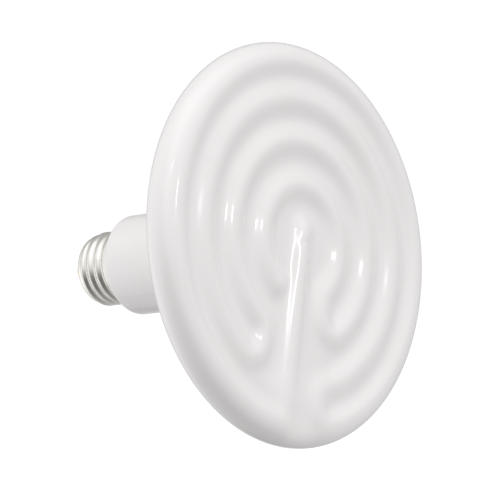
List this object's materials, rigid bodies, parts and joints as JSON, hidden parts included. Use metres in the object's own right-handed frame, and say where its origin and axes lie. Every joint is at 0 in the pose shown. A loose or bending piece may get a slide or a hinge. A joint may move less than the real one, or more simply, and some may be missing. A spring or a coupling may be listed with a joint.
{
  "type": "ceramic heat emitter",
  "caption": "Flat round white ceramic heat emitter whose face has one folded ridge, on a plain neck with a nickel-plated screw cap.",
  "frame": {"origin": "centre of the neck's end face, on the lamp axis, where the screw cap's shell starts", "axes": "+Y along the lamp axis towards the cap's contact, so the ridged face looks along -Y; +Z points away from the straight rib of the face, which runs down from the centre"},
  "size_m": [0.138, 0.103, 0.138],
  "materials": {
    "white_glaze": "gloss",
    "nickel_plate": "polished",
    "cement": "matte",
    "dark_vitrite": "gloss",
    "contact_metal": "satin",
    "solder": "satin"
  },
  "bodies": {
    "root": {"ceramic_body": "white_glaze", "screw_shell": "nickel_plate", "cap_cement": "cement", "cap_insulator": "dark_vitrite", "centre_contact": "contact_metal", "contact_solder": "solder"}
  },
  "joints": []
}
